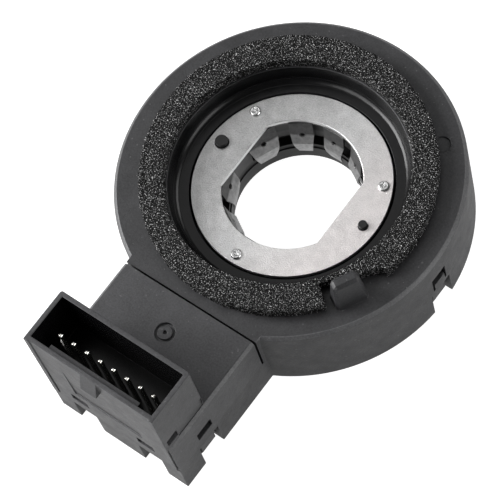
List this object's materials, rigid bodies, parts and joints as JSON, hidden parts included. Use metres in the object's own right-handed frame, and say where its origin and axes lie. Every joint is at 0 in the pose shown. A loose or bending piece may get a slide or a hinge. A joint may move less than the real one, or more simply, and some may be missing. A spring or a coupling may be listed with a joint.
{
  "type": "steering angle sensor",
  "caption": "Steering angle sensor: a ring housing whose hub turns with the steering shaft, with a side block that carries a pin header.",
  "frame": {"origin": "on the hub's axis, at the level of the housing's bottom face", "axes": "+Z along the hub's axis, from the lower case to the drive plate. -Y from the hub's axis to the header. +X along the row of pins"},
  "size_m": [0.0548, 0.0744, 0.026],
  "materials": {
    "case_plastic": "finely textured black moulding",
    "hub_plastic": "satin black moulding",
    "foam": "dark open-cell foam with light specks",
    "zinc_plate": "mottled dull zinc",
    "spring_steel": "bright sheet",
    "screw_nickel": "nickel plated",
    "tinned_brass": "bright tin plating",
    "board_laminate": "green lacquer",
    "chip_resin": "moulded resin",
    "crystal_can": "bright can",
    "ceramic": "unglazed ceramic",
    "gear_plastic": "natural white moulding",
    "magnet_nickel": "nickel plated"
  },
  "bodies": {
    "housing": {"lower_case": "case_plastic", "ring_cover": "case_plastic", "block_cover": "case_plastic", "header_shell": "case_plastic", "terminal_pins": "tinned_brass", "foam_ring": "foam", "circuit_board": "board_laminate", "coarse_angle_chip": "chip_resin", "fine_angle_chip": "chip_resin", "controller_chip": "chip_resin", "voltage_regulator": "chip_resin", "crystal": "crystal_can", "capacitors": "ceramic"},
    "rotor": {"hub": "hub_plastic", "drive_plate": "zinc_plate", "grip_spring": "spring_steel", "plate_screws": "screw_nickel"},
    "coarse_wheel": {"coarse_gear": "gear_plastic", "coarse_magnet": "magnet_nickel"},
    "fine_wheel": {"fine_gear": "gear_plastic", "fine_magnet": "magnet_nickel"}
  },
  "joints": [
    {"name": "rotor_turn", "type": "hinge", "parent": "housing", "child": "rotor", "pos_m": [0, 0, 0], "axis": [0, 0, 1], "continuous": true},
    {"name": "coarse_wheel_turn", "type": "hinge", "parent": "housing", "child": "coarse_wheel", "pos_m": [0.00582, -0.02173, 0], "axis": [0, 0, 1], "continuous": true},
    {"name": "fine_wheel_turn", "type": "hinge", "parent": "housing", "child": "fine_wheel", "pos_m": [-0.00569, -0.02125, 0], "axis": [0, 0, 1], "continuous": true}
  ],
  "couplings": [
    {"joint": "coarse_wheel_turn", "follows": "rotor_turn", "ratio": -4},
    {"joint": "fine_wheel_turn", "follows": "rotor_turn", "ratio": -4.5}
  ]
}
